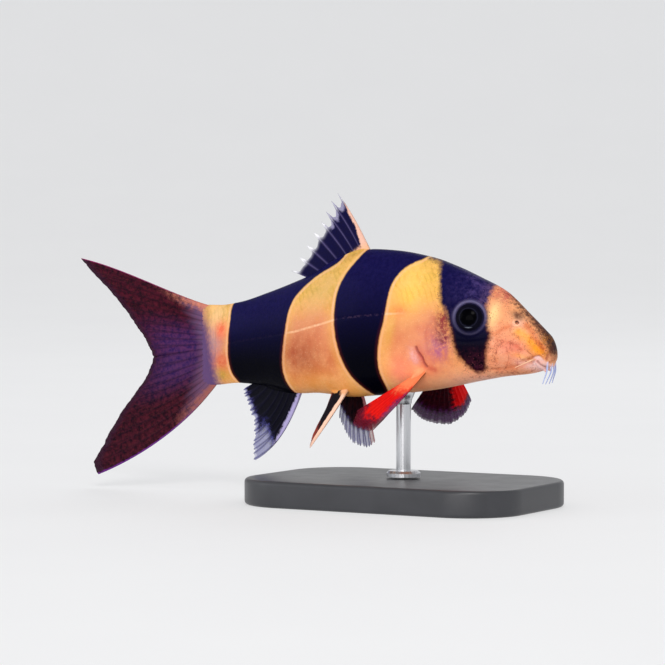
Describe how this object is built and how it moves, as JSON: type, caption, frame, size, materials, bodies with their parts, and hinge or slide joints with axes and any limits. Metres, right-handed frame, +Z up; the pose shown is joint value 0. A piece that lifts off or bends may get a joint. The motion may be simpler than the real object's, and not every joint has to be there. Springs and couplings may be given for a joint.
{
  "type": "clown loach",
  "caption": "Life-size young clown loach, swimming, as a still display figure held over a flat base by one rod.",
  "frame": {"origin": "middle of the underside of the stand's base, below the rod", "axes": "+X towards the snout, +Y to the fish's left, +Z up"},
  "size_m": [0.0843, 0.03, 0.0465],
  "materials": {
    "skin": "painted resin, peach and yellow with three black bands, satin and wet looking",
    "eye": "clear-coated, near black with a thin silver ring",
    "fin_dark": "cast resin, black with pale rays and clear margins",
    "fin_tail": "cast resin, dark red brown with a violet grey middle",
    "fin_red": "cast resin, red with a dark middle and clear margins",
    "barbel": "cast resin, pale and smooth",
    "stand_base": "satin charcoal",
    "stand_rod": "brushed"
  },
  "bodies": {
    "root": {"head": "skin", "trunk": "skin", "tail_stem": "skin", "eye_right": "eye", "eye_left": "eye", "dorsal_fin": "fin_dark", "anal_fin": "fin_dark", "pelvic_fin_right": "fin_dark", "pelvic_fin_left": "fin_dark", "caudal_fin_upper": "fin_tail", "caudal_fin_lower": "fin_tail", "pectoral_fin_right": "fin_red", "pectoral_fin_left": "fin_red", "barbel_inner_right": "barbel", "barbel_inner_left": "barbel", "barbel_outer_right": "barbel", "barbel_outer_left": "barbel", "barbel_corner_right": "barbel", "barbel_corner_left": "barbel", "stand_base": "stand_base", "stand_rod": "stand_rod"}
  },
  "joints": []
}
